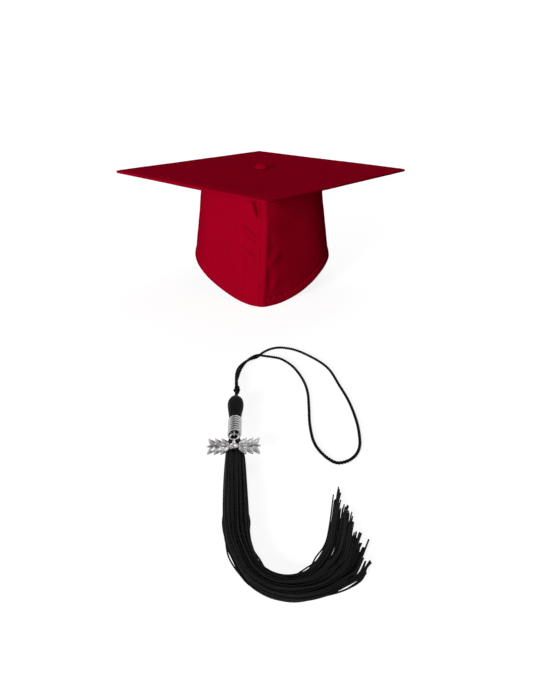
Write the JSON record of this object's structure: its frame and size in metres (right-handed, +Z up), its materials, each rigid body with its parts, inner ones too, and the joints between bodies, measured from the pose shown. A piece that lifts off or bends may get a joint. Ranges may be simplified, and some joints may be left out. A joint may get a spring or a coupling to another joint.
{
  "type": "graduation cap",
  "caption": "Square academic cap: a cloth-covered board with a covered button on a soft pointed skullcap, and a loose corded tassel with a wire-bound head and a small hanging charm.",
  "frame": {"origin": "On the surface that the cap stands on, under the middle of the board", "axes": "+Z up out of the board's top, -Y towards the cap's front point, +X to the right seen from the front; the board's corners lie on the X and Y axes"},
  "size_m": [0.336, 0.6287, 0.1393],
  "materials": {
    "red_cloth": "deep red woven polyester with a low sheen",
    "grey_card": "plain stiff card",
    "black_lining": "thin black lining cloth",
    "band_cloth": "smooth black band cloth",
    "black_elastic": "ribbed black elastic",
    "bright_steel": "bright pressed steel",
    "silver_wire": "bright silver-coloured wire",
    "silver_cast": "bright silver-coloured casting",
    "black_yarn": "glossy black rayon yarn"
  },
  "bodies": {
    "cap": {"board_core": "grey_card", "board_top_cover": "red_cloth", "board_under_cover": "red_cloth", "button_cover": "red_cloth", "button_back_plate": "bright_steel", "button_rivet": "bright_steel", "button_washer": "bright_steel", "skull_panel_left": "red_cloth", "skull_panel_right": "red_cloth", "back_gusset": "red_cloth", "front_seam_lap": "red_cloth", "rim_hem": "red_cloth", "skull_lining": "black_lining", "crown_disc": "black_lining", "sweatband": "band_cloth", "elastic_band": "black_elastic"},
    "tassel": {"tassel_cord": "black_yarn", "cord_knot": "black_yarn", "tassel_head": "black_yarn", "tassel_skirt": "black_yarn", "wire_band": "silver_wire", "band_eye": "silver_wire"},
    "charm_body": {"charm": "silver_cast"}
  },
  "joints": [
    {"name": "tassel_lift", "type": "slide", "parent": "cap", "child": "tassel", "axis": [0, 0, 1], "range_m": [0, 0.2]},
    {"name": "charm_swing", "type": "hinge", "parent": "tassel", "child": "charm_body", "pos_m": [-0.0276, -0.33735, 0.01], "axis": [-1, 0, 0], "range_deg": [0, 150]}
  ]
}
